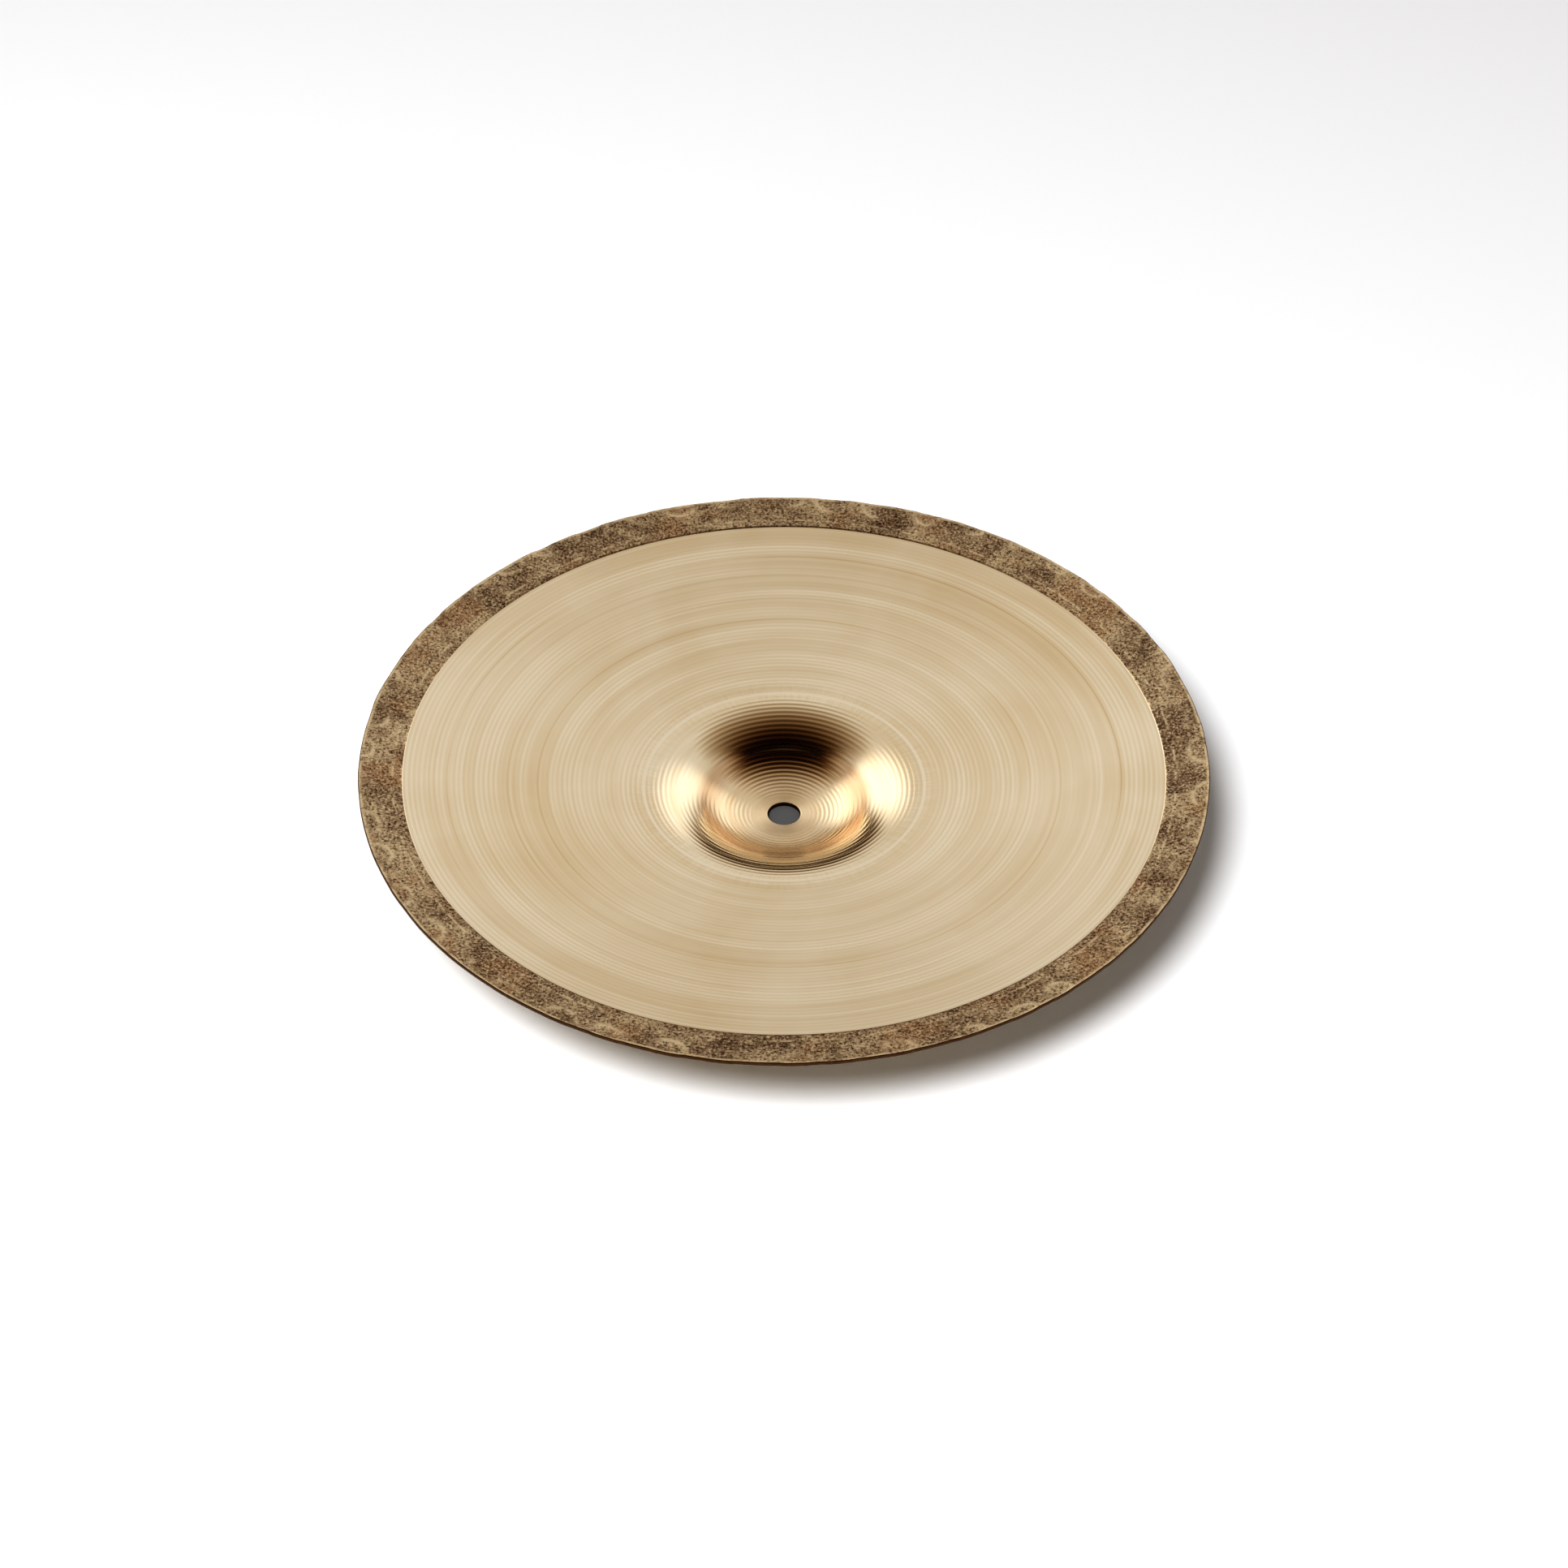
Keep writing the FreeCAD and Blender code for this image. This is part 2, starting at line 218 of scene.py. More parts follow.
@dataclass
class Section:
    """The sheet's cross-section, from its named sizes. Radii and heights are in millimetres."""

    rim_radius: float
    hole_radius: float = 6.4
    land_radius: float = 9.0
    wall_radius: float = 32.3
    bell_radius: float = 55.2
    wall_angle: float = 35.0
    bow_angle: float = 6.6
    rim_angle: float = 11.3
    bell_thickness: float = 1.8
    rim_thickness: float = 1.2
    band_width: float = 16.5
    lathe_step: float = 0.2
    hole_chamfer: float = 0.2
    rim_round: float = 0.3

    def __post_init__(self) -> None:
        """Work out the arcs' centres and radii."""
        steep, start, end = (math.radians(a) for a in (self.wall_angle, self.bow_angle, self.rim_angle))
        self.dome = (self.wall_radius - self.land_radius) / math.sin(steep)
        self.dome_centre = (self.land_radius, self.dome)
        self.shoulder = (self.bell_radius - self.wall_radius) / (math.sin(steep) - math.sin(start))
        self.shoulder_centre = (self.land_radius + (self.dome + self.shoulder) * math.sin(steep),
                                self.dome - (self.dome + self.shoulder) * math.cos(steep))
        self.bow_start = (self.bell_radius - self.bell_thickness * math.sin(start),
                          self.shoulder_centre[1] + (self.shoulder + self.bell_thickness) * math.cos(start))
        self.bow = (self.rim_radius - self.bow_start[0]) / (math.sin(end) - math.sin(start))
        self.bow_centre = (self.bow_start[0] - self.bow * math.sin(start),
                           self.bow_start[1] + self.bow * math.cos(start))

    @property
    def step_radius(self) -> float:
        """Where the lathed bow ends and the raw band starts."""
        return self.rim_radius - self.band_width

    def concave(self, radius: float) -> float:
        """Height of the lathed concave side.

        Args:
            radius: the distance from the axis.

        Returns:
            The height with no step at the raw band.
        """
        if radius <= self.land_radius:
            return self.bell_thickness
        steep = math.sin(math.radians(self.wall_angle))
        dome = self.dome - self.bell_thickness
        if radius <= self.land_radius + dome * steep:
            return self.dome_centre[1] - math.sqrt(dome ** 2 - (radius - self.land_radius) ** 2)
        if radius <= self.bow_start[0]:
            shoulder = self.shoulder + self.bell_thickness
            across = radius - self.shoulder_centre[0]
            return self.shoulder_centre[1] + math.sqrt(shoulder ** 2 - across ** 2)
        return self.bow_centre[1] - math.sqrt(self.bow ** 2 - (radius - self.bow_centre[0]) ** 2)

    def convex(self, radius: float) -> float:
        """Height of the convex side.

        Args:
            radius: the distance from the axis.

        Returns:
            The height with no step at the raw band.
        """
        if radius <= self.land_radius:
            return 0.0
        if radius <= self.wall_radius:
            return self.dome_centre[1] - math.sqrt(self.dome ** 2 - (radius - self.land_radius) ** 2)
        if radius <= self.bell_radius:
            across = radius - self.shoulder_centre[0]
            return self.shoulder_centre[1] + math.sqrt(self.shoulder ** 2 - across ** 2)
        share = (radius - self.bell_radius) / (self.rim_radius - self.bell_radius)
        thickness = self.bell_thickness + share * (self.rim_thickness - self.bell_thickness)
        return self.concave(radius) - thickness

    def rings(self) -> list[Ring]:
        """The section's rings in order, once round: concave side out, rim, convex side in, hole.

        Returns:
            The rings. The last repeats the first, so that the strip after each ring is between two rings.
        """
        fine, coarse = 1, 3
        out: list[Ring] = []

        def run(start: float, stop: float, count: int, side: Side, zone: Zone, stride: int) -> None:
            """Add a run of evenly spaced rings.

            Args:
                start: the first ring's radius.
                stop: the radius where the next run starts.
                count: how many rings.
                side: the side of the sheet they are on.
                zone: the finish of the strips after them.
                stride: how many columns of the grid share one place.
            """
            for i in range(count):
                radius = start + (stop - start) * i / count
                raised = self.lathe_step if zone is Zone.RAW_BAND else 0.0
                if side is Side.CONCAVE:
                    height = self.concave(radius) + raised
                else:
                    height = self.convex(radius) - raised
                out.append(Ring(radius, height, side, zone, stride))

        step, rim, bevel = self.step_radius, self.rim_radius, self.lathe_step
        hole = self.hole_radius
        run(hole + self.hole_chamfer, self.land_radius, 4, Side.CONCAVE, Zone.CUP, coarse)
        run(self.land_radius, self.wall_radius, 104, Side.CONCAVE, Zone.CUP, coarse)
        run(self.wall_radius, self.bell_radius, 30, Side.CONCAVE, Zone.LATHED, coarse)
        run(self.bell_radius, step - 2.0, 26, Side.CONCAVE, Zone.LATHED, coarse)
        run(step - 2.0, step, 5, Side.CONCAVE, Zone.LATHED, coarse)
        out.append(Ring(step, self.concave(step), Side.CONCAVE, Zone.RAW_BAND, coarse))
        run(step + bevel, rim - self.rim_round, 32, Side.CONCAVE, Zone.RAW_BAND, fine)
        out += self.rim_rings(fine)
        run(rim - self.rim_round, step + bevel, 12, Side.CONVEX, Zone.RAW_BAND, fine)
        run(step, self.bell_radius, 24, Side.CONVEX, Zone.LATHED, coarse)
        run(self.bell_radius, self.land_radius, 40, Side.CONVEX, Zone.LATHED, coarse)
        run(self.land_radius, hole + self.hole_chamfer, 3, Side.CONVEX, Zone.LATHED, coarse)
        out.append(Ring(hole + self.hole_chamfer, 0.0, Side.EDGE, Zone.CUT_EDGE, coarse))
        out.append(Ring(hole, self.hole_chamfer, Side.EDGE, Zone.CUT_EDGE, coarse))
        out.append(Ring(hole, self.bell_thickness - self.hole_chamfer, Side.EDGE, Zone.CUT_EDGE, coarse))
        out.append(out[0])
        return out

    def rim_rings(self, stride: int) -> list[Ring]:
        """The rim's edge.

        Args:
            stride: how many columns of the grid share one place.

        Returns:
            The rings of the rounded upper corner, the cut wall and the rounded lower corner.
        """
        rim, corner = self.rim_radius, self.rim_round
        top = self.concave(rim) + self.lathe_step
        bottom = self.convex(rim) - self.lathe_step
        out = []
        for turn in (90, 60, 30, 0, 0, -30, -60):
            angle = math.radians(turn)
            centre = top - corner if len(out) < 4 else bottom + corner
            out.append(Ring(rim - corner + corner * math.cos(angle), centre + corner * math.sin(angle),
                            Side.EDGE, Zone.CUT_EDGE, stride))
        return out


# ------------------------------------------------------------------------------------------ finishes


@dataclass(frozen=True)
class Finish:
    """A bronze finish: its name, its colours and how rough it is."""

    name: str
    bright: str
    dull: str
    roughness: float


@dataclass(frozen=True)
class LathedBronze(Finish):
    """Tin bronze skimmed on a lathe.

    The fine rings spread each reflection along the radius, so the eye gets a pale gold glow with soft light
    and dark bands rather than a mirror's picture.
    """

    wall_roughness: float = 0.13
    land_roughness: float = 0.36
    bow_pitch: float = 1.9
    bow_depth: float = 0.002
    wall_pitch: float = 1.9
    wall_depth: float = 0.03
    cup_radius: float = 32.3
    bell_radius: float = 55.2
    anisotropy: float = 0.12
    # The colour and share of the painted shade ring in the cup beside the wall.
    painted_cup_shade: str = "b58256"
    painted_cup_shade_share: float = 0.42
    streak_pitch: float = 1.8
    band_pitch: float = 8.0
    tick_pitch: float = 9.0
    tick_reach: float = 9.0
    deep_score: float = 131.5
    light_scores: tuple[float, ...] = (96.5, 108.2, 139.3)
    land: tuple[float, float] = (9.0, 24.0)

    def material(self) -> bpy.types.Material:
        """Build the material.

        The bow's grooves are really about 0.95 mm apart; they are drawn at 1.9 mm so that they still show.
        They are cut deep in some bands and hardly at all in others, where the tool was changed or pressed
        less; their light and shade is painted into the colour as light and dark rings. A few deeper scores
        show as thin dark rings of painted shade, and the tool's chatter as short ticks beside the bell's
        edge, which carries a thin painted highlight line. The wall of the bell is polished more than the
        bow, so it mirrors the room where the bow only glows, and a ring of painted shade darkens the cup
        beside the wall.

        Returns:
            The material.
        """
        mat, tree, shader = start_material(self)
        sums = Sums(tree)
        radius, turned = polar(tree, sums)
        place = add(tree, "ShaderNodeTexCoord").outputs["Object"]
        streaks = ring_noise(tree, sums, radius, turned, 1.0 / self.streak_pitch, 0.3, 0.0)
        bands = ring_noise(tree, sums, radius, turned, 1.0 / self.band_pitch, 0.6, 3.0)
        chatter = ring_noise(tree, sums, radius, turned, 1.0 / self.tick_pitch, 45.0, 1.0)
        clouds = sums.noise(place, 14.0, 3.0, 0.5, 0.6)
        bow = sums.ramp(radius, self.bell_radius - 1.0, self.bell_radius + 1.0)
        cup = sums.ramp(radius, self.cup_radius - 2.0, self.cup_radius + 1.0, 1.0, 0.0)
        by_edge = sums.bump_at(radius, self.bell_radius, self.tick_reach)

        def rings(pitch: float, depth: Any) -> bpy.types.NodeSocket:
            """The height of even rings of a pitch and a depth."""
            wave = sums.do("SINE", sums.do("MULTIPLY", radius, 2 * math.pi / pitch))
            return sums.do("MULTIPLY", wave, sums.do("MULTIPLY", depth, 0.5))

        # Painted highlight: a thin light line along the bell's edge, added to the colour.
        line = sums.bump_at(radius, self.bell_radius, 0.9)
        # Painted shade: thin dark rings at a few deeper scores, taken off the colour.
        score_shade = sums.bump_at(radius, self.deep_score, 0.7)
        for score in self.light_scores:
            score_shade = sums.do("ADD", score_shade, sums.do("MULTIPLY", sums.bump_at(radius, score, 0.6), 0.6))
        score_shade = sums.do("MULTIPLY", score_shade, sums.ramp(bands, 0.42, 0.6, 1.0, 0.15))
        pressed = sums.ramp(bands, 0.36, 0.62, 0.1, 1.0)
        tone = sums.do("ADD", sums.do("MULTIPLY", streaks, 0.16), sums.do("MULTIPLY", bands, 0.4))
        tone = sums.do("ADD", tone, sums.do("MULTIPLY", clouds, 0.44))
        tone = sums.ramp(tone, 0.34, 0.62, smooth=False)
        # Painted light and shade of the bow's grooves: light and dark rings in the colour.
        painted_groove_shade = sums.do("MULTIPLY", rings(self.bow_pitch, 1.0), sums.do("MULTIPLY", bow, pressed))
        tone = sums.do("ADD", tone, sums.do("MULTIPLY", painted_groove_shade, 0.6))
        tick = sums.do("MULTIPLY", sums.do("SUBTRACT", chatter, 0.5), sums.do("SUBTRACT", by_edge, line))
        tone = sums.do("ADD", tone, sums.do("MULTIPLY", tick, 0.9))
        tone = sums.do("ADD", tone, sums.do("MULTIPLY", line, 1.5))
        tone = sums.do("SUBTRACT", tone, sums.do("MULTIPLY", score_shade, 0.8))
        tone = sums.do("MINIMUM", tone, 1.1)
        colour = add(tree, "ShaderNodeMix", {"data_type": "RGBA", "clamp_factor": False},
                     {0: tone, 6: linear(self.dull), 7: linear(self.bright)})
        # Painted shade: a ring in the cup beside the foot of the wall is darkened towards the shade colour.
        foot = sums.do("MULTIPLY", sums.ramp(radius, self.cup_radius - 9.0, self.cup_radius - 2.0),
                       sums.ramp(radius, self.cup_radius, self.cup_radius + 3.0, 1.0, 0.0))
        colour = add(tree, "ShaderNodeMix", {"data_type": "RGBA"},
                     {0: sums.do("MULTIPLY", foot, self.painted_cup_shade_share), 6: colour.outputs[2],
                      7: linear(self.painted_cup_shade)})
        tree.links.new(colour.outputs[2], shader.inputs["Base Color"])

        rough = sums.ramp(bow, 0.0, 1.0, self.wall_roughness, self.roughness)
        on_land = sums.ramp(radius, *self.land, self.land_roughness - self.wall_roughness, 0.0, smooth=False)
        rough = sums.do("ADD", rough, on_land)
        rough = sums.do("ADD", rough, sums.ramp(bands, 0.3, 0.7, 0.03, -0.03))
        tree.links.new(rough, shader.inputs["Roughness"])

        on_bow = rings(self.bow_pitch, sums.do("MULTIPLY", sums.do("MULTIPLY", bow, pressed), self.bow_depth))
        wall = sums.do("MULTIPLY", sums.do("SUBTRACT", 1.0, bow), sums.do("SUBTRACT", 1.0, cup))
        on_wall = rings(self.wall_pitch, sums.do("MULTIPLY", wall, self.wall_depth))
        height = sums.do("ADD", sums.do("ADD", on_bow, on_wall), sums.do("MULTIPLY", streaks, 0.006))
        height = sums.do("ADD", height, sums.do("MULTIPLY", tick, 0.06))
        bump(tree, shader, sums.do("MULTIPLY", height, MM))
        tangent = add(tree, "ShaderNodeTangent", {"direction_type": "RADIAL", "axis": "Z"})
        tree.links.new(tangent.outputs[0], shader.inputs["Tangent"])
        shader.inputs["Anisotropic"].default_value = self.anisotropy
        shader.inputs["Anisotropic Rotation"].default_value = 0.25
        return mat


@dataclass(frozen=True)
class RawBronze(Finish):
    """Cast and rolled bronze left as it came from the oven and the hammer.

    Its brown oxide is half matt, mottled and pitted, so the eye gets a dull, sandy leather colour beside the
    bright lathed metal, with pale lines where handling wore the high spots.
    """

    pit: str = "2a1c10"
    warm: str = "a87e58"
    grain_light: str = "f0dab4"
    inner_radius: float = 148.5
    outer_radius: float = 165.0
    chafed_inset: float = 3.6
    worn_inset: tuple[float, float] = (1.7, 0.8)

    def material(self) -> bpy.types.Material:
        """Build the material.

        Slow clouds of thicker and thinner oxide, warm patches where it is thin, sandy light and dark grain
        from casting, and a few pits. The real grain is near 0.3 mm; it is drawn about three times as coarse.
        The broken light line near the inner side is where the work chafed on the lathe's face plate. The
        lips of the dents and the outer edge are rubbed paler, more in some places than in others.

        Returns:
            The material.
        """
        mat, tree, shader = start_material(self)
        sums = Sums(tree)
        radius, turned = polar(tree, sums)
        place = add(tree, "ShaderNodeTexCoord").outputs["Object"]
        clouds = sums.noise(place, 80.0, 3.0, 0.55, 0.3)
        patches = sums.noise(place, 38.0, 2.0, 0.5)
        grain = sums.noise(place, 950.0, 2.0, 0.75)
        specks = sums.noise(place, 480.0, 1.0, 0.5)
        dashes = ring_noise(tree, sums, radius, turned, 0.2, 22.0, 1.0)

        def mixed(share: Any, below: Any, above: Any) -> bpy.types.NodeSocket:
            """Two colours mixed by a share."""
            return add(tree, "ShaderNodeMix", {"data_type": "RGBA"},
                       {0: share, 6: below, 7: above}).outputs[2]

        tone = sums.do("ADD", sums.do("MULTIPLY", clouds, 0.5), sums.do("MULTIPLY", grain, 0.25))
        tone = sums.do("ADD", tone, sums.do("MULTIPLY", patches, 0.25))
        colour = mixed(sums.ramp(tone, 0.34, 0.66), linear(self.dull), linear(self.bright))
        colour = mixed(sums.ramp(patches, 0.5, 0.66, 0.0, 0.6), colour, linear(self.warm))
        chafed = sums.do("MULTIPLY", sums.bump_at(radius, self.inner_radius + self.chafed_inset, 0.9),
                         sums.ramp(dashes, 0.45, 0.6, 0.0, 0.8))
        lip = add(tree, "ShaderNodeAttribute", {"attribute_name": LIP_NAME}).outputs["Fac"]
        starts, full = (self.outer_radius - inset for inset in self.worn_inset)
        worn = sums.do("MULTIPLY", sums.ramp(radius, starts, full, 0.0, 0.9),
                       sums.ramp(dashes, 0.35, 0.55, 0.35, 1.0))
        rubbed = sums.do("MAXIMUM", worn, sums.do("MULTIPLY", lip, sums.ramp(clouds, 0.4, 0.6, 0.15, 0.9)))
        light = sums.do("MAXIMUM", sums.ramp(grain, 0.51, 0.66, 0.0, 0.68), chafed)
        light = sums.do("MAXIMUM", light, rubbed)
        colour = mixed(light, colour, linear(self.grain_light))
        dark = sums.do("MAXIMUM", sums.ramp(grain, 0.48, 0.35, 0.0, 0.75), sums.ramp(specks, 0.27, 0.2))
        dark = sums.do("MULTIPLY", dark, sums.do("SUBTRACT", 1.0, sums.do("MULTIPLY", rubbed, 0.7)))
        colour = mixed(dark, colour, linear(self.pit))
        tree.links.new(colour, shader.inputs["Base Color"])
        rough = sums.ramp(clouds, 0.3, 0.7, self.roughness + 0.08, self.roughness - 0.08)
        tree.links.new(rough, shader.inputs["Roughness"])
        height = sums.do("ADD", sums.do("MULTIPLY", clouds, 0.25), sums.do("MULTIPLY", grain, 0.06))
        bump(tree, shader, sums.do("MULTIPLY", height, MM))
        return mat


@dataclass(frozen=True)
class CutBronze(Finish):
    """Bronze at a cut edge, browned like the raw band and darkened further as painted shade: it gives a thin
    dark line at the rim and the hole.
    """

    def material(self) -> bpy.types.Material:
        """Build the material: nearly plain dark brown metal, darker than the raw band as painted shade, with
        a little fine grain in its colour.

        Returns:
            The material.
        """
        mat, tree, shader = start_material(self)
        sums = Sums(tree)
        place = add(tree, "ShaderNodeTexCoord").outputs["Object"]
        grain = sums.noise(place, 500.0, 3.0, 0.6)
        # Dark brown edge: browned bronze, darkened further as painted shade on the edge's wall.
        colour = add(tree, "ShaderNodeMix", {"data_type": "RGBA"},
                     {0: grain, 6: linear(self.dull), 7: linear(self.bright)})
        tree.links.new(colour.outputs[2], shader.inputs["Base Color"])
        return mat


def start_material(finish: Finish) -> tuple[bpy.types.Material, bpy.types.NodeTree, bpy.types.Node]:
    """A new metal material with an empty tree but for its shader and output.

    Args:
        finish: the finish it is named for.

    Returns:
        The material, its tree and its shader node.
    """
    mat = bpy.data.materials.new(finish.name)
    mat.use_nodes = True
    tree = mat.node_tree
    tree.nodes.clear()
    shader = add(tree, "ShaderNodeBsdfPrincipled", {}, {"Metallic": 1.0, "Roughness": finish.roughness})
    add(tree, "ShaderNodeOutputMaterial", {}, {"Surface": shader.outputs[0]})
    return mat, tree, shader


def polar(tree: bpy.types.NodeTree, sums: Sums) -> tuple[bpy.types.NodeSocket, bpy.types.NodeSocket]:
    """Where a point is round the axis.

    Args:
        tree: the shader tree.
        sums: arithmetic on the same tree.

    Returns:
        The distance from the axis in millimetres, and the direction from it as a vector of length one.
    """
    place = add(tree, "ShaderNodeTexCoord").outputs["Object"]
    flat = add(tree, "ShaderNodeVectorMath", {"operation": "MULTIPLY"}, {0: place, 1: (1, 1, 0)})
    length = add(tree, "ShaderNodeVectorMath", {"operation": "LENGTH"}, {0: flat.outputs[0]})
    turned = add(tree, "ShaderNodeVectorMath", {"operation": "NORMALIZE"}, {0: flat.outputs[0]})
    return sums.do("DIVIDE", length.outputs["Value"], MM), turned.outputs[0]


def ring_noise(tree: bpy.types.NodeTree, sums: Sums, radius: Any, turned: Any, per_mm: float,
               around: float, detail: float) -> bpy.types.NodeSocket:
    """Noise drawn out into rings: many cells along the radius, few round the axis, with no seam.

    Args:
        tree: the tree.
        sums: arithmetic on the same tree.
        radius: the distance from the axis in millimetres.
        turned: the direction from the axis.
        per_mm: cells for each millimetre of radius.
        around: how far the noise's circle reaches, in cells, which sets how rings change on their way round.
        detail: octaves of finer noise.

    Returns:
        The noise's socket.
    """
    circle = add(tree, "ShaderNodeVectorMath", {"operation": "SCALE"}, {0: turned, "Scale": around})
    along = add(tree, "ShaderNodeCombineXYZ", {}, {"Z": sums.do("MULTIPLY", radius, per_mm)})
    where = add(tree, "ShaderNodeVectorMath", {"operation": "ADD"},
                {0: circle.outputs[0], 1: along.outputs[0]})
    return sums.noise(where.outputs[0], 1.0, detail, 0.6)


def bump(tree: bpy.types.NodeTree, shader: bpy.types.Node, height: bpy.types.NodeSocket) -> None:
    """Bend a shader's normals.

    Args:
        tree: the shader tree.
        shader: the shader node.
        height: the surface's height in metres.
    """
    node = add(tree, "ShaderNodeBump", {}, {"Strength": 1.0, "Distance": 1.0, "Height": height})
    tree.links.new(node.outputs[0], shader.inputs["Normal"])


# ------------------------------------------------------------------------------------------ the cymbal


@dataclass
class Cymbal:
    """The bronze sheet: its section, its hammer and lathe marks, and its finishes."""

    section: Section
    around: int = 720
    groove_pitch: float = 1.75
    groove_depth: float = 0.1
    dent_count: int = 48
    dent_width: float = 11.0
    dent_reach: float = 5.5
    dent_depth: float = 0.3
    rim_wave: float = 0.8
    lathed: LathedBronze = field(default_factory=lambda: LathedBronze(
        "lathed_bronze", "f8e8cc", "e8d1ab", 0.30))
    cup: LathedBronze = field(default_factory=lambda: LathedBronze(
        "grooved_bronze_cup", "f6e2c2", "e4c9a0", 0.30, anisotropy=0.88))
    raw: RawBronze = field(default_factory=lambda: RawBronze(
        "raw_oxidised_bronze", "d4bb96", "846850", 0.42))
    cut: CutBronze = field(default_factory=lambda: CutBronze(
        "shaded_cut_edge", "6b4a2c", "2e1d10", 0.45))

    def section_object(self) -> bpy.types.Object:
        """The section as loose points in the plane of X and Z.

        Returns:
            The object, whose points each carry what their ring is.
        """
        rings = self.section.rings()
        mesh = bpy.data.meshes.new("section")
        mesh.from_pydata([(r.radius * MM, 0.0, r.height * MM) for r in rings], [], [])
        path = np.cumsum([0.0] + [math.hypot(b.radius - a.radius, b.height - a.height)
                                  for a, b in zip(rings, rings[1:])])
        layers = {
            "side": ("INT", [int(r.side) for r in rings]),
            "zone": ("INT", [int(r.zone) for r in rings]),
            "stride": ("INT", [r.stride for r in rings]),
            "along": ("FLOAT", list(path / path[-1])),
        }
        for name, (kind, values) in layers.items():
            mesh.attributes.new(name, kind, "POINT").data.foreach_set("value", values)
        piece = bpy.data.objects.new("cymbal_sheet", mesh)
        bpy.context.collection.objects.link(piece)
        return piece

    def tree(self) -> bpy.types.NodeTree:
        """Build the tree that turns the section's points into the finished sheet.

        Returns:
            The Geometry Nodes tree, with an input for each of its named sizes.
        """
        tree = bpy.data.node_groups.new("turned_sheet", "GeometryNodeTree")
        face = tree.interface
        face.new_socket("Geometry", in_out="INPUT", socket_type="NodeSocketGeometry")
        face.new_socket("Geometry", in_out="OUTPUT", socket_type="NodeSocketGeometry")
        for name, value in self.numbers().items():
            kind = "NodeSocketInt" if isinstance(value, int) else "NodeSocketFloat"
            face.new_socket(name, in_out="INPUT", socket_type=kind)
        size = add(tree, "NodeGroupInput").outputs
        sums = Sums(tree)
        points = add(tree, "GeometryNodeAttributeDomainSize", {"component": "MESH"}, {0: size["Geometry"]})
        columns = sums.do("ADD", size["Around"], 1)
        grid = add(tree, "GeometryNodeMeshGrid", {},
                   {"Vertices X": points.outputs["Point Count"], "Vertices Y": columns})
        index = add(tree, "GeometryNodeInputIndex").outputs[0]

        def sampled(name: str, kind: str, row: Any) -> bpy.types.NodeSocket:
            """A section attribute at a row of the grid."""
            value = add(tree, "GeometryNodeInputNamedAttribute", {"data_type": kind}, {"Name": name})
            node = add(tree, "GeometryNodeSampleIndex", {"data_type": kind, "domain": "POINT"},
                       {"Geometry": size["Geometry"], "Value": value.outputs[0], "Index": row})
            return node.outputs[0]

        row = sums.do("FLOOR", sums.do("DIVIDE", sums.do("ADD", index, 0.5), columns))
        column = sums.do("SUBTRACT", index, sums.do("MULTIPLY", row, columns))
        stride = sampled("stride", "INT", row)
        column = sums.do("MULTIPLY", sums.do("ROUND", sums.do("DIVIDE", column, stride)), stride)
        share = sums.do("DIVIDE", column, size["Around"])
        angle = sums.do("MULTIPLY", share, 2 * math.pi)
        place = add(tree, "ShaderNodeSeparateXYZ", {}, {0: sampled("position", "FLOAT_VECTOR", row)})
        radius, height = (sums.do("DIVIDE", place.outputs[i], MM) for i in ("X", "Z"))
        side = sampled("side", "INT", row)

        height = sums.do("ADD", height, self.grooves(tree, sums, size, radius, side))
        bowl, lip = self.dents(tree, sums, size, radius, angle)
        height = sums.do("SUBTRACT", height, bowl)
        lift, stretch = self.waves(tree, sums, size, radius, angle)
        height = sums.do("ADD", height, lift)
        radius = sums.do("ADD", radius, stretch)

        x = sums.do("MULTIPLY", sums.do("MULTIPLY", radius, sums.do("COSINE", angle)), MM)
        y = sums.do("MULTIPLY", sums.do("MULTIPLY", radius, sums.do("SINE", angle)), MM)
        at = add(tree, "ShaderNodeCombineXYZ", {}, {"X": x, "Y": y, "Z": sums.do("MULTIPLY", height, MM)})
        uv = add(tree, "ShaderNodeCombineXYZ", {}, {"X": share, "Y": sampled("along", "FLOAT", row)})
        kept = add(tree, "GeometryNodeStoreNamedAttribute", {"data_type": "FLOAT2", "domain": "CORNER"},
                   {"Geometry": grid.outputs["Mesh"], "Name": UV_NAME, "Value": uv.outputs[0]})
        kept = add(tree, "GeometryNodeStoreNamedAttribute", {"data_type": "FLOAT", "domain": "POINT"},
                   {"Geometry": kept.outputs[0], "Name": LIP_NAME, "Value": lip})
        moved = add(tree, "GeometryNodeSetPosition", {}, {"Geometry": kept.outputs[0],
                                                          "Position": at.outputs[0]})
        shape = moved.outputs[0]
        strip = sums.do("FLOOR", sums.do("DIVIDE", sums.do("ADD", index, 0.5), size["Around"]))
        zone = sampled("zone", "INT", strip)
        for number, finish in ((Zone.LATHED, self.lathed), (Zone.RAW_BAND, self.raw),
                               (Zone.CUT_EDGE, self.cut), (Zone.CUP, self.cup)):
            chosen = sums.do("COMPARE", zone, int(number), 0.5)
            shape = add(tree, "GeometryNodeSetMaterial", {}, {
                "Geometry": shape, "Selection": chosen, "Material": finish.material()}).outputs[0]
        joined = add(tree, "GeometryNodeMergeByDistance", {}, {"Geometry": shape, "Distance": 1e-6})
        smooth = add(tree, "GeometryNodeSetShadeSmooth", {}, {0: joined.outputs[0]})
        real = add(tree, "GeometryNodeRealizeInstances", {}, {0: smooth.outputs[0]})
        add(tree, "NodeGroupOutput", {}, {0: real.outputs[0]})
        return tree

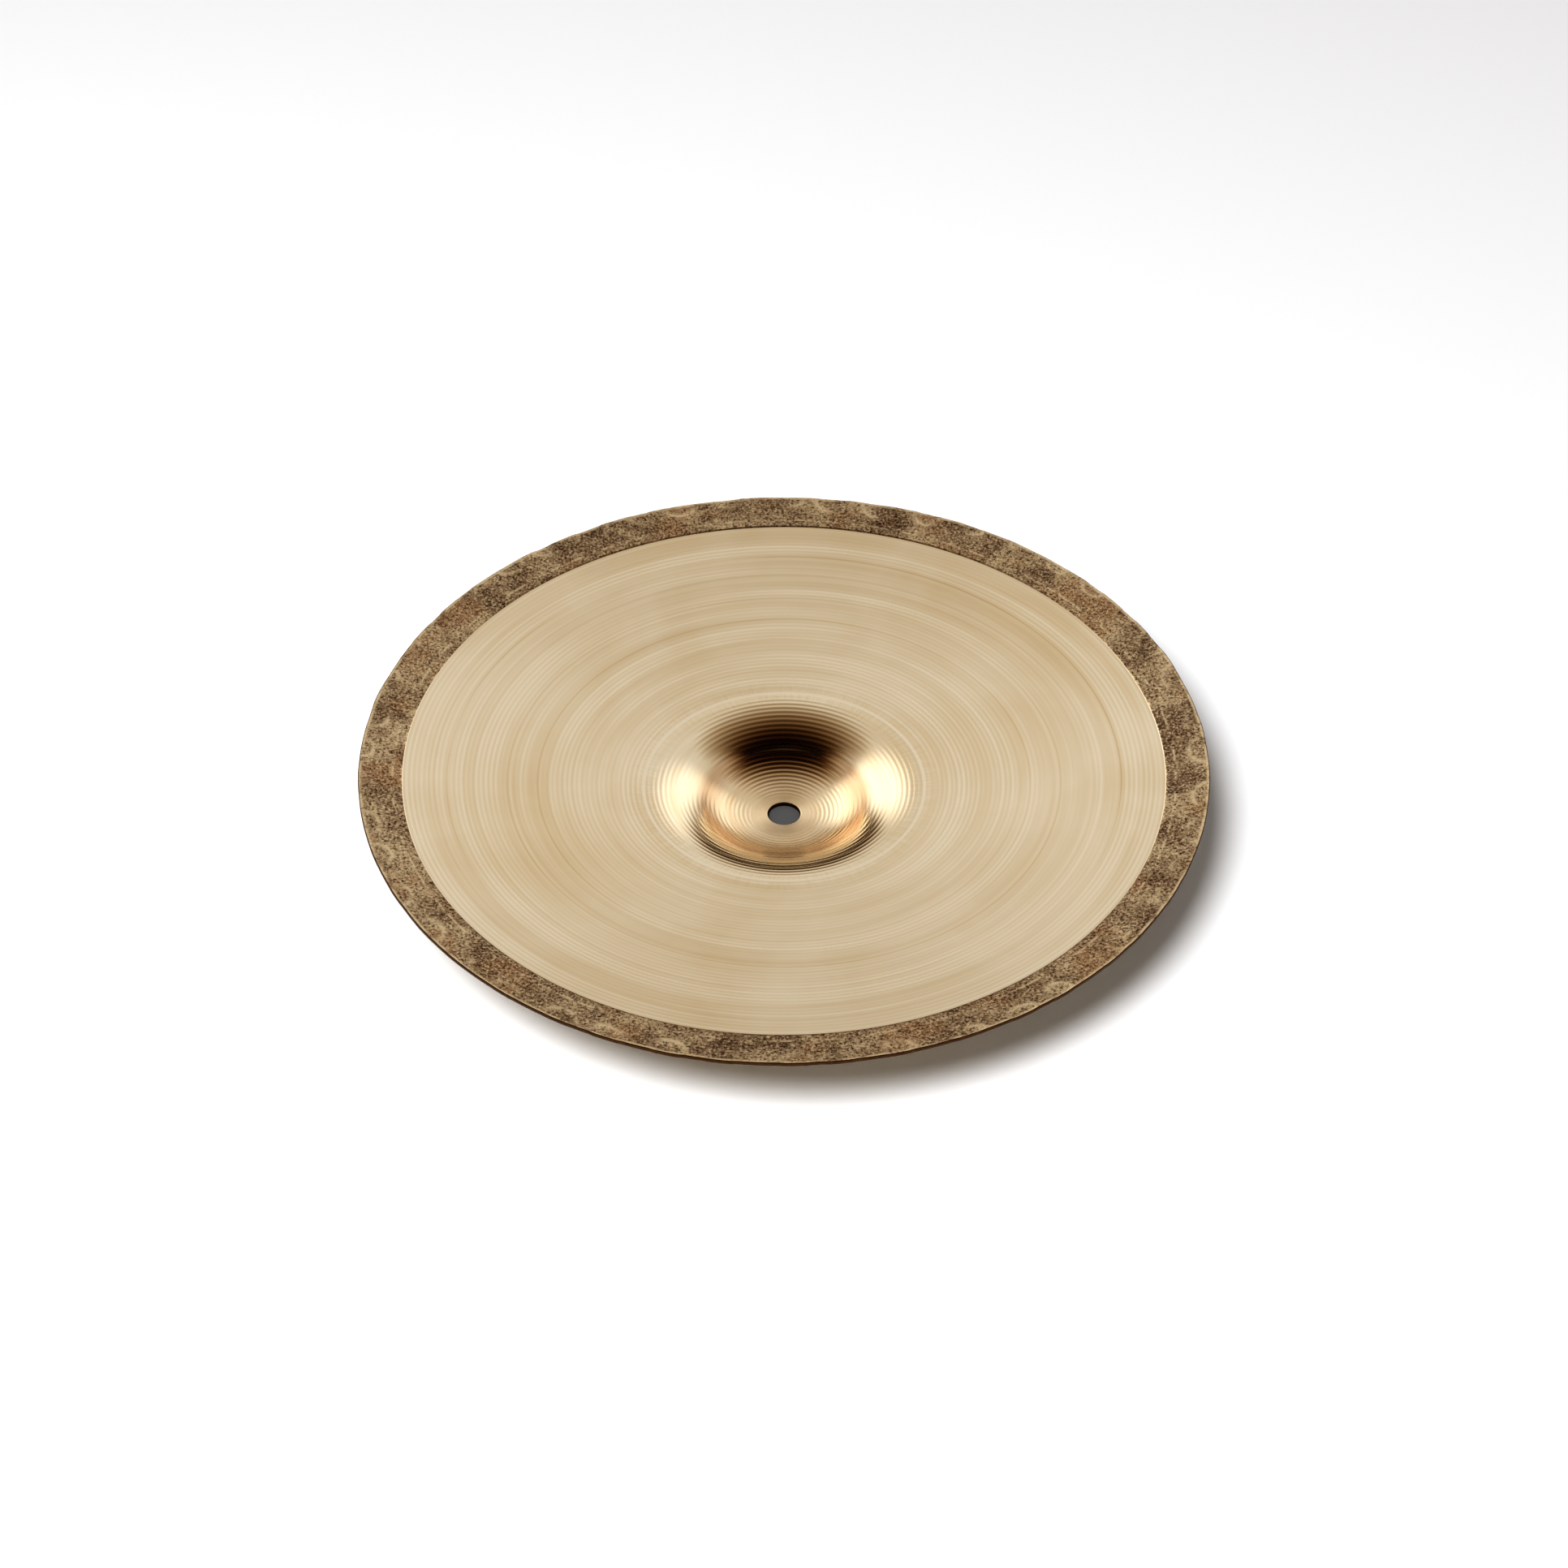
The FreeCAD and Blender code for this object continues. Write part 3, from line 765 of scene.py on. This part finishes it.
    def numbers(self) -> dict[str, int | float]:
        """The tree's named sizes."""
        return {
            "Around": self.around,
            "Bell Radius": self.section.bell_radius,
            "Cup Radius": self.section.wall_radius,
            "Land Radius": self.section.land_radius,
            "Rim Radius": self.section.rim_radius,
            "Band Radius": self.section.step_radius,
            "Groove Pitch": self.groove_pitch,
            "Groove Depth": self.groove_depth,
            "Dent Count": self.dent_count,
            "Dent Width": self.dent_width,
            "Dent Reach": self.dent_reach,
            "Dent Depth": self.dent_depth,
            "Rim Wave": self.rim_wave,
        }

    def random(self, tree: bpy.types.NodeTree, low: float, high: float, key: Any,
               seed: int) -> bpy.types.NodeSocket:
        """A number that stays the same for one key and seed.

        Args:
            tree: the geometry tree.
            low: the least it may be.
            high: the most it may be.
            key: which groove or dent it is for.
            seed: the fixed seed.

        Returns:
            The number's socket.
        """
        node = add(tree, "FunctionNodeRandomValue", {"data_type": "FLOAT"},
                   {2: low, 3: high, "ID": key, "Seed": seed})
        return node.outputs[1]

    def grooves(self, tree: bpy.types.NodeTree, sums: Sums, size: Any, radius: Any,
                side: Any) -> bpy.types.NodeSocket:
        """The rings that the lathe cut in the bell, each cut a little differently.

        Args:
            tree: the geometry tree.
            sums: arithmetic on the same tree.
            size: the tree's named sizes.
            radius: the distance from the axis.
            side: which side of the sheet the point is on.

        Returns:
            How far the point is moved: down on the concave side, and up on the convex side.
        """
        turn = sums.do("DIVIDE", radius, size["Groove Pitch"])
        each = self.random(tree, 0.5, 1.0, sums.do("FLOOR", turn), 3)
        cut = sums.do("COSINE", sums.do("MULTIPLY", turn, 2 * math.pi))
        cut = sums.do("MULTIPLY", sums.do("SUBTRACT", cut, 1.0),
                      sums.do("MULTIPLY", size["Groove Depth"], 0.5))
        inside = sums.do("MULTIPLY",
                         sums.ramp(radius, size["Land Radius"], sums.do("ADD", size["Land Radius"], 2.0)),
                         sums.ramp(radius, sums.do("SUBTRACT", size["Cup Radius"], 2.5),
                                   size["Cup Radius"], 1.0, 0.0))
        return sums.do("MULTIPLY", sums.do("MULTIPLY", cut, each), sums.do("MULTIPLY", inside, side))

    def dents(self, tree: bpy.types.NodeTree, sums: Sums, size: Any, radius: Any,
              angle: Any) -> tuple[bpy.types.NodeSocket, bpy.types.NodeSocket]:
        """Hammer dents: half-moons that start at the rim, uneven in place, size and depth.

        Args:
            tree: the geometry tree.
            sums: arithmetic on the same tree.
            size: the tree's named sizes.
            radius: the distance from the axis.
            angle: the turn round the axis, in radians.

        Returns:
            How deep the sheet is pressed, and one on each dent's raised lip.
        """
        turn = sums.do("MULTIPLY", angle, sums.do("DIVIDE", size["Dent Count"], 2 * math.pi))
        nearest = sums.do("ROUND", turn)
        key = sums.do("MODULO", nearest, size["Dent Count"])
        middle = sums.do("ADD", nearest, self.random(tree, -0.2, 0.2, key, 11))
        apart = sums.do("MULTIPLY", sums.do("DIVIDE", sums.do("SUBTRACT", turn, middle), size["Dent Count"]),
                        sums.do("MULTIPLY", radius, 2 * math.pi))
        half = sums.do("MULTIPLY", size["Dent Width"], self.random(tree, 0.42, 0.7, key, 12))
        reach = sums.do("MULTIPLY", size["Dent Reach"], self.random(tree, 0.75, 1.35, key, 13))
        inward = sums.do("SUBTRACT", size["Rim Radius"], radius)
        across, along = sums.do("DIVIDE", apart, half), sums.do("DIVIDE", inward, reach)
        away = sums.do("SQRT", sums.do("ADD", sums.do("MULTIPLY", across, across),
                                       sums.do("MULTIPLY", along, along)))
        bowl = sums.ramp(away, 0.55, 1.0, 1.0, 0.0)
        lip = sums.bump_at(away, 1.05, 0.28)
        depth = sums.do("MULTIPLY", size["Dent Depth"], self.random(tree, 0.3, 1.2, key, 14))
        return sums.do("MULTIPLY", sums.do("SUBTRACT", bowl, sums.do("MULTIPLY", lip, 0.16)), depth), lip

    def waves(self, tree: bpy.types.NodeTree, sums: Sums, size: Any, radius: Any,
              angle: Any) -> tuple[bpy.types.NodeSocket, bpy.types.NodeSocket]:
        """Waves where hammering left the sheet uneven.

        Args:
            tree: the geometry tree.
            sums: arithmetic on the same tree.
            size: the tree's named sizes.
            radius: the distance from the axis.
            angle: the turn round the axis, in radians.

        Returns:
            How far the point rises, and how far it moves outwards.
        """
        circle = add(tree, "ShaderNodeCombineXYZ", {}, {"X": sums.do("COSINE", angle),
                                                        "Y": sums.do("SINE", angle)}).outputs[0]
        slow = sums.do("SUBTRACT", sums.noise(circle, 1.3, 1.0), 0.5)
        quick = sums.do("SUBTRACT", sums.noise(circle, 7.0, 1.0), 0.5)
        near_rim = sums.ramp(radius, size["Band Radius"], size["Rim Radius"])
        over_bow = sums.ramp(radius, size["Bell Radius"], size["Rim Radius"])
        lift = sums.do("ADD", sums.do("MULTIPLY", slow, over_bow), sums.do("MULTIPLY", quick, near_rim))
        lift = sums.do("MULTIPLY", lift, size["Rim Wave"])
        stretch = sums.do("MULTIPLY", sums.do("MULTIPLY", quick, near_rim), size["Rim Wave"])
        return lift, stretch

    def build(self) -> bpy.types.Object:
        """Turn the section into a plain mesh.

        Returns:
            The finished piece, with its finishes and its own unwrap.
        """
        start = self.section_object()
        tree = self.tree()
        modifier = start.modifiers.new("turned_sheet", "NODES")
        modifier.node_group = tree
        sockets = {item.name: item.identifier for item in tree.interface.items_tree
                   if item.in_out == "INPUT"}
        for name, value in self.numbers().items():
            modifier[sockets[name]] = value
        graph = bpy.context.evaluated_depsgraph_get()
        mesh = bpy.data.meshes.new_from_object(start.evaluated_get(graph))
        drop_empty_slots(mesh)
        bpy.data.objects.remove(start)
        for name in ("side", "zone", "stride", "along"):
            if name in mesh.attributes:
                mesh.attributes.remove(mesh.attributes[name])
        piece = bpy.data.objects.new("cymbal_bronze", mesh)
        bpy.context.collection.objects.link(piece)
        triangles = sum(len(p.vertices) - 2 for p in mesh.polygons)
        log.info("%s: %d vertices, %d triangles", piece.name, len(mesh.vertices), triangles)
        return piece


def drop_empty_slots(mesh: bpy.types.Mesh) -> None:
    """Take out the leading material slots that hold nothing, and renumber the faces to match.

    Args:
        mesh: the mesh that is changed.
    """
    empty = 0
    while empty < len(mesh.materials) and mesh.materials[empty] is None:
        empty += 1
    numbers = np.empty(len(mesh.polygons), dtype=np.int32)
    mesh.polygons.foreach_get("material_index", numbers)
    for _ in range(empty):
        mesh.materials.pop(index=0)
    mesh.polygons.foreach_set("material_index", numbers - empty)


# ------------------------------------------------------------------------------------------ the studio


def direction(turn: float, rise: float) -> Vector:
    """A direction from two angles.

    Args:
        turn: degrees to the right of straight ahead, which is +Y.
        rise: degrees above level.

    Returns:
        The vector, of length one.
    """
    turned, risen = math.radians(turn), math.radians(rise)
    return Vector((math.sin(turned) * math.cos(risen), math.cos(turned) * math.cos(risen), math.sin(risen)))


def sines(angles: tuple[float, float]) -> tuple[float, float]:
    """The heights on a unit sphere of two angles above level, in degrees."""
    return math.sin(math.radians(angles[0])), math.sin(math.radians(angles[1]))


@dataclass
class Studio:
    """A pale floor, a pale tent with a dark opening overhead, a key lamp and the camera.

    Angles are in degrees. Those of the opening are measured from straight ahead, up and over to behind. A
    panel is its turn to the right, its rise, its spread and its strength. The middle, the rim, the lamp
    and the floor are in metres, and the spot of painted shadow is in millimetres.
    """

    middle: Vector
    rim_height: float
    rim_radius: float
    elevation: float = 41.31
    distance_in_radii: float = 7.0
    lens: float = 68.07
    wall_light: float = 0.55
    wall_bottom: tuple[float, float] = (8.0, 24.0)
    opening_far: tuple[float, float] = (61.0, 112.0)
    opening_power: float = 2.4
    opening_near: tuple[float, float] = (112.0, 130.0)
    opening_sides: tuple[float, float] = (0.5, 0.75)
    panels: tuple[tuple[float, float, float, float], ...] = (
        (-44.0, 25.0, 29.0, 0.75), (35.0, 21.0, 27.0, 0.42),
        (135.0, 24.0, 26.0, 0.3), (-135.0, 24.0, 26.0, 0.3))
    panel_core: float = 0.4
    near_share: float = 0.7
    near_fade: tuple[float, float] = (-0.3, 0.2)
    warm_fall: tuple[float, float] = (0.3, 0.7)
    lamp_turn: float = -150.0
    lamp_rise: float = 56.5
    lamp_size: float = 1.06
    lamp_distance: float = 2.6
    lamp_light: float = 30.5
    floor_half: float = 4.0
    # A grey spot of painted shadow on the floor under the bell, seen through the hole.
    painted_shadow_radius: float = 12.0
    painted_shadow_edge: float = 3.0
    painted_shadow_grey: str = "4e4e4e"
    paper: str = "cccdcf"

    def camera(self) -> None:
        """Look at the middle of the object's box, from the front and above."""
        data = bpy.data.cameras.new("camera")
        data.sensor_width = 36.0
        data.lens = self.lens
        camera = bpy.data.objects.new("camera", data)
        bpy.context.collection.objects.link(camera)
        tilt = math.radians(self.elevation)
        away = self.distance_in_radii * self.rim_radius
        rim_middle = Vector((self.middle.x, self.middle.y, self.rim_height))
        camera.location = rim_middle + away * Vector((0, -math.cos(tilt), math.sin(tilt)))
        camera.rotation_mode = "QUATERNION"
        camera.rotation_quaternion = (self.middle - camera.location).to_track_quat("-Z", "Y")
        bpy.context.scene.camera = camera

    def floor(self) -> None:
        """A wide sheet of pale paper, with a grey spot of painted shadow under the bell that shows through
        the hole.
        """
        half = self.floor_half
        mesh = bpy.data.meshes.new("floor")
        mesh.from_pydata([(-half, -half, 0), (half, -half, 0), (half, half, 0), (-half, half, 0)], [],
                         [(0, 1, 2, 3)])
        floor = bpy.data.objects.new("floor", mesh)
        bpy.context.collection.objects.link(floor)
        mat = bpy.data.materials.new("pale_matt_paper")
        mat.use_nodes = True
        tree = mat.node_tree
        shader = tree.nodes["Principled BSDF"]
        sums = Sums(tree)
        radius, _ = polar(tree, sums)
        # Painted shadow: the floor is grey under the bell, where the hole shows it.
        painted_shadow = sums.ramp(radius, self.painted_shadow_radius, self.painted_shadow_radius + self.painted_shadow_edge, 1.0, 0.0)
        colour = add(tree, "ShaderNodeMix", {"data_type": "RGBA"},
                     {0: painted_shadow, 6: linear(self.paper), 7: linear(self.painted_shadow_grey)})
        tree.links.new(colour.outputs[2], shader.inputs["Base Color"])
        shader.inputs["Roughness"].default_value = 0.9
        shader.inputs["Specular IOR Level"].default_value = 0.1
        mesh.materials.append(mat)

    def tent(self) -> None:
        """Pale light all round, but for a dark opening overhead, with four soft panels low down.

        The light turns warmer where it falls off, so that the metal's dark reflections are brown.
        """
        world = bpy.data.worlds.new("tent")
        bpy.context.scene.world = world
        world.use_nodes = True
        tree = world.node_tree
        tree.nodes.clear()
        sums = Sums(tree)
        towards = add(tree, "ShaderNodeTexCoord").outputs["Generated"]

        def facing(middle: Vector, inner: float, outer: float) -> bpy.types.NodeSocket:
            """How nearly the light comes from a direction.

            Args:
                middle: the direction, of length one.
                inner: the angle from it, in degrees, within which the result is one.
                outer: the angle where it is nought.

            Returns:
                The result's socket.
            """
            dot = add(tree, "ShaderNodeVectorMath", {"operation": "DOT_PRODUCT"},
                      {0: towards, 1: tuple(middle)}).outputs["Value"]
            return sums.ramp(dot, math.cos(math.radians(outer)), math.cos(math.radians(inner)))

        parts = add(tree, "ShaderNodeSeparateXYZ", {}, {0: towards}).outputs
        rise = parts["Z"]
        over = sums.do("ARCTAN2", rise, parts["Y"])
        fade = sums.ramp(over, *(math.radians(a) for a in self.opening_far), 1.0, 0.0, smooth=False)
        dark = sums.do("SUBTRACT", 1.0, sums.do("POWER", fade, self.opening_power))
        dark = sums.do("MULTIPLY", dark,
                       sums.ramp(over, *(math.radians(a) for a in self.opening_near), 1.0, 0.0))
        dark = sums.do("MULTIPLY", dark,
                       sums.ramp(sums.do("ABSOLUTE", parts["X"]), *self.opening_sides, 1.0, 0.0))
        wall = sums.do("MULTIPLY", sums.ramp(rise, *sines(self.wall_bottom)), sums.do("SUBTRACT", 1.0, dark))
        wall = sums.do("MULTIPLY", wall, sums.ramp(parts["Y"], *self.near_fade, self.near_share, 1.0))
        light = sums.do("MULTIPLY", wall, self.wall_light)
        for turn, height, spread, strength in self.panels:
            panel = facing(direction(turn, height), self.panel_core * spread, spread)
            light = sums.do("ADD", light, sums.do("MULTIPLY", panel, strength))
        share = sums.do("MINIMUM", sums.do("DIVIDE", light, self.wall_light), 1.0)
        green, blue = (sums.do("POWER", share, power) for power in self.warm_fall)
        tint = add(tree, "ShaderNodeCombineColor", {}, {"Red": 1.0, "Green": green, "Blue": blue})
        background = add(tree, "ShaderNodeBackground", {}, {"Color": tint.outputs[0], "Strength": light})
        add(tree, "ShaderNodeOutputWorld", {}, {"Surface": background.outputs[0]})

    def key_lamp(self) -> None:
        """A soft round lamp behind the camera at the left, which the metal doesn't mirror.

        It throws the shadow to the far right.
        """
        data = bpy.data.lights.new("key", "AREA")
        data.shape = "DISK"
        data.size = self.lamp_size
        data.energy = self.lamp_light * math.pi * math.pi * (self.lamp_size / 2) ** 2
        lamp = bpy.data.objects.new("key", data)
        lamp.visible_glossy = False
        bpy.context.collection.objects.link(lamp)
        lamp.location = self.middle + self.lamp_distance * direction(self.lamp_turn, self.lamp_rise)
        lamp.rotation_mode = "QUATERNION"
        lamp.rotation_quaternion = (self.middle - lamp.location).to_track_quat("-Z", "Y")

    def build(self) -> None:
        """Set up the whole studio."""
        view = bpy.context.scene.view_settings
        view.view_transform = "Standard"
        view.look = "High Contrast"
        self.camera()
        self.floor()
        self.tent()
        self.key_lamp()


def main() -> None:
    """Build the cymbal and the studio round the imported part."""
    logging.basicConfig(level=logging.INFO, format="%(name)s: %(message)s")
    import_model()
    low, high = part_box(NODE)
    section = Section(rim_radius=(high.x - low.x) / 2 / MM)
    piece = Cymbal(section).build()
    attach(piece, BODY)
    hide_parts(NODE)
    Studio((low + high) / 2, high.z, section.rim_radius * MM).build()


if __name__ == "__main__":
    main()
